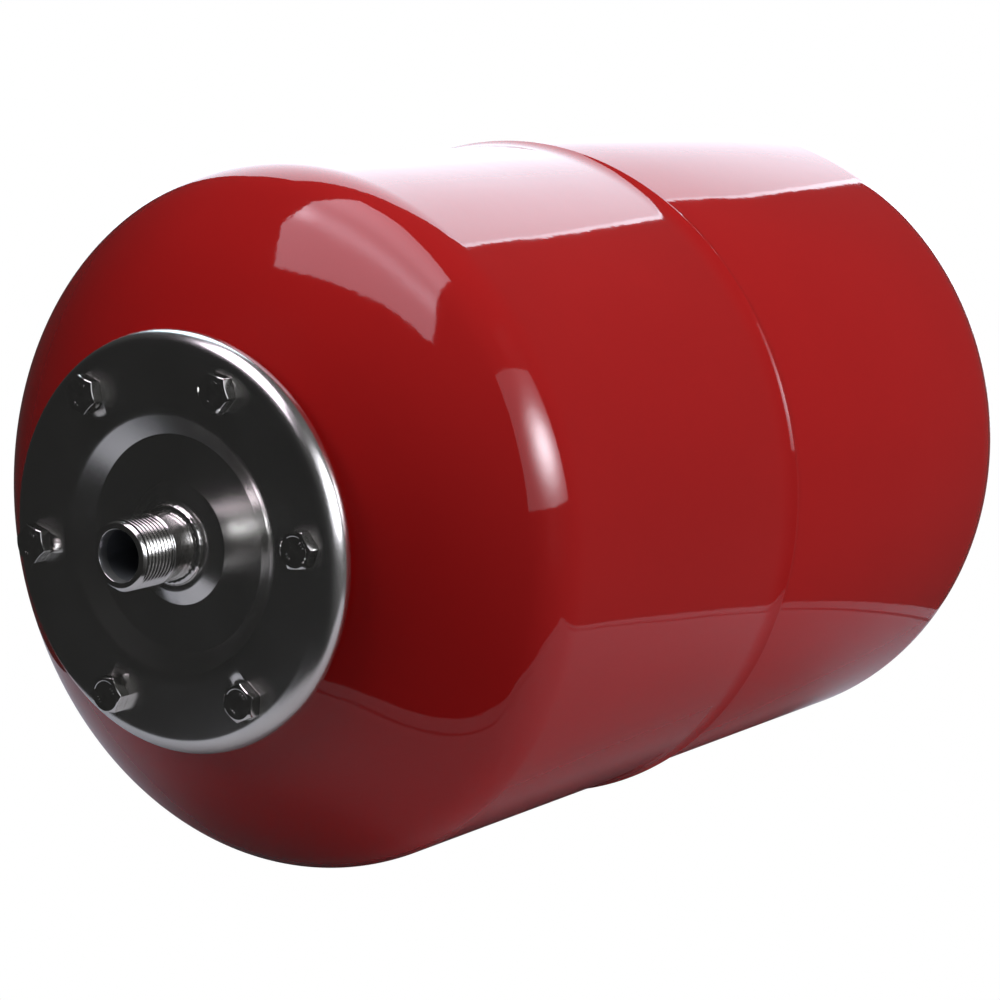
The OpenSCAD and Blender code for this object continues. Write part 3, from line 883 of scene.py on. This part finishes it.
side_outline = [(-0.43, 0.05), (0.48, 0.075), (0.48, 0.735), (-0.04, 0.775), (-0.43, 0.79)]
side = card("side_softbox", [(0.9, y, z) for y, z in side_outline],
            glow("side_glow", (0.97, 0.97, 1.05), 0.9,
                 [((0.9, 0.135, 0.32), (1, 0.17, 0.12), 19), ((0.9, 0.25, 0.30), (1, 0.2, 0.3), 1.5)]))
side.visible_diffuse = False

# Softboxes outside the reflections that shape the shading
for name, centre, half, strength in (("key", Vector((1.46, 0.52, 1.25)), 0.4, 15.5),
                                     ("front_fill", Vector((-0.6, -1.2, 0.9)), 0.4, 3.8),
                                     ("low_fill", Vector((1.15, 0.14, 0.02)), 0.25, 9.5)):
    aim = (Vector((0, 0.204, 0)) - centre).normalized()
    e1 = aim.cross(Vector((0, 0, 1))).normalized() * half
    e2 = aim.cross(e1).normalized() * half
    key = card(name, [tuple(centre + i * e1 + j * e2) for i, j in ((-1, -1), (1, -1), (1, 1), (-1, 1))],
               glow(name + "_glow", (1, 1, 1), strength))
    key.visible_glossy = False

# Pale board under the vessel, with painted shade just inside its edge: a flat dark strip stands in for the
# shade in a groove
FLOOR_Z = CAD_BOX[0].z - 0.0002


def matte(name, colour):
    mat = bpy.data.materials.new(name)
    mat.use_nodes = True
    bsdf = mat.node_tree.nodes["Principled BSDF"]
    bsdf.inputs["Base Color"].default_value = (*colour, 1)
    bsdf.inputs["Roughness"].default_value = 0.7
    return mat


def board_point(u, w, lift=0.0):
    return spread(0.204, u, w, FLOOR_Z + lift)


def near_edge(inset, side_inset=0.0):
    """The board's near edge, a gently waving line, drawn inwards by inset."""
    marks = [(-0.27, -0.255 + side_inset), (-0.265, -0.10), (-0.24, 0), (-0.275, 0.08), (-0.28, 0.17),
             (-0.25, 0.275 - side_inset)]
    line = [marks[0]]
    for (u0, w0), (u1, w1) in zip(marks, marks[1:]):
        for i in range(1, 9):
            v = i / 8
            line.append((u0 + (u1 - u0) * v * v * (3 - 2 * v), w0 + (w1 - w0) * v))
    return [(u + inset, w) for u, w in line]


board = matte("board_white", (0.39, 0.385, 0.42))
# Painted shade: the groove is a flat dark strip laid on the board, not a cut
groove_shade = matte("board_groove_painted_shade", (0.12, 0.12, 0.13))
SIDE_IN, SIDE_OUT, FAR = -0.255, 0.275, 1.6
card("board", [board_point(u, w) for u, w in near_edge(0) + [(FAR, SIDE_OUT), (FAR, SIDE_IN)]], board)
card("groove_shade_near", [board_point(u, w, 0.0001)
                     for u, w in near_edge(0.015, 0.015) + near_edge(0.018, 0.015)[::-1]], groove_shade)
card("groove_shade_right", [board_point(u, w, 0.0001) for u, w in
                      [(-0.235, SIDE_OUT - 0.015), (-0.235, SIDE_OUT - 0.012),
                       (FAR, SIDE_OUT - 0.012), (FAR, SIDE_OUT - 0.015)]], groove_shade)

# White ground that only the camera sees
mesh = bpy.data.meshes.new("floor")
far = 15
mesh.from_pydata([(x, y, FLOOR_Z) for x, y in ((-far, -far), (far, -far), (far, far), (-far, far))], [],
                 [(0, 1, 2, 3)])
floor = bpy.data.objects.new("floor", mesh)
bpy.context.scene.collection.objects.link(floor)
mesh.materials.append(glow("floor_white", (1, 1, 1), 1.0))
floor.visible_diffuse = floor.visible_glossy = floor.visible_shadow = False

# World: white to the camera, and to everything else a dim room, a little lighter overhead and at the side
world = bpy.data.worlds.new("studio")
bpy.context.scene.world = world
world.use_nodes = True
tree = world.node_tree
tree.nodes.clear()
coord = tree.nodes.new("ShaderNodeTexCoord")
facing = tree.nodes.new("ShaderNodeVectorMath")
facing.operation = "DOT_PRODUCT"
facing.inputs[1].default_value = (0.55, 0.6, 0.55)
room = tree.nodes.new("ShaderNodeMapRange")
for socket, value in (("From Min", -0.3), ("From Max", 0.6), ("To Min", 0.019), ("To Max", 0.09)):
    room.inputs[socket].default_value = value
path = tree.nodes.new("ShaderNodeLightPath")
strength = tree.nodes.new("ShaderNodeMapRange")
strength.inputs["To Max"].default_value = 1.0
shine = tree.nodes.new("ShaderNodeBackground")
shine.inputs["Color"].default_value = (1, 1, 1, 1)
out = tree.nodes.new("ShaderNodeOutputWorld")
tree.links.new(coord.outputs["Generated"], facing.inputs[0])
tree.links.new(facing.outputs["Value"], room.inputs["Value"])
tree.links.new(path.outputs["Is Camera Ray"], strength.inputs["Value"])
tree.links.new(room.outputs["Result"], strength.inputs["To Min"])
tree.links.new(strength.outputs["Result"], shine.inputs["Strength"])
tree.links.new(shine.outputs[0], out.inputs["Surface"])
bpy.context.scene.view_settings.view_transform = "Standard"
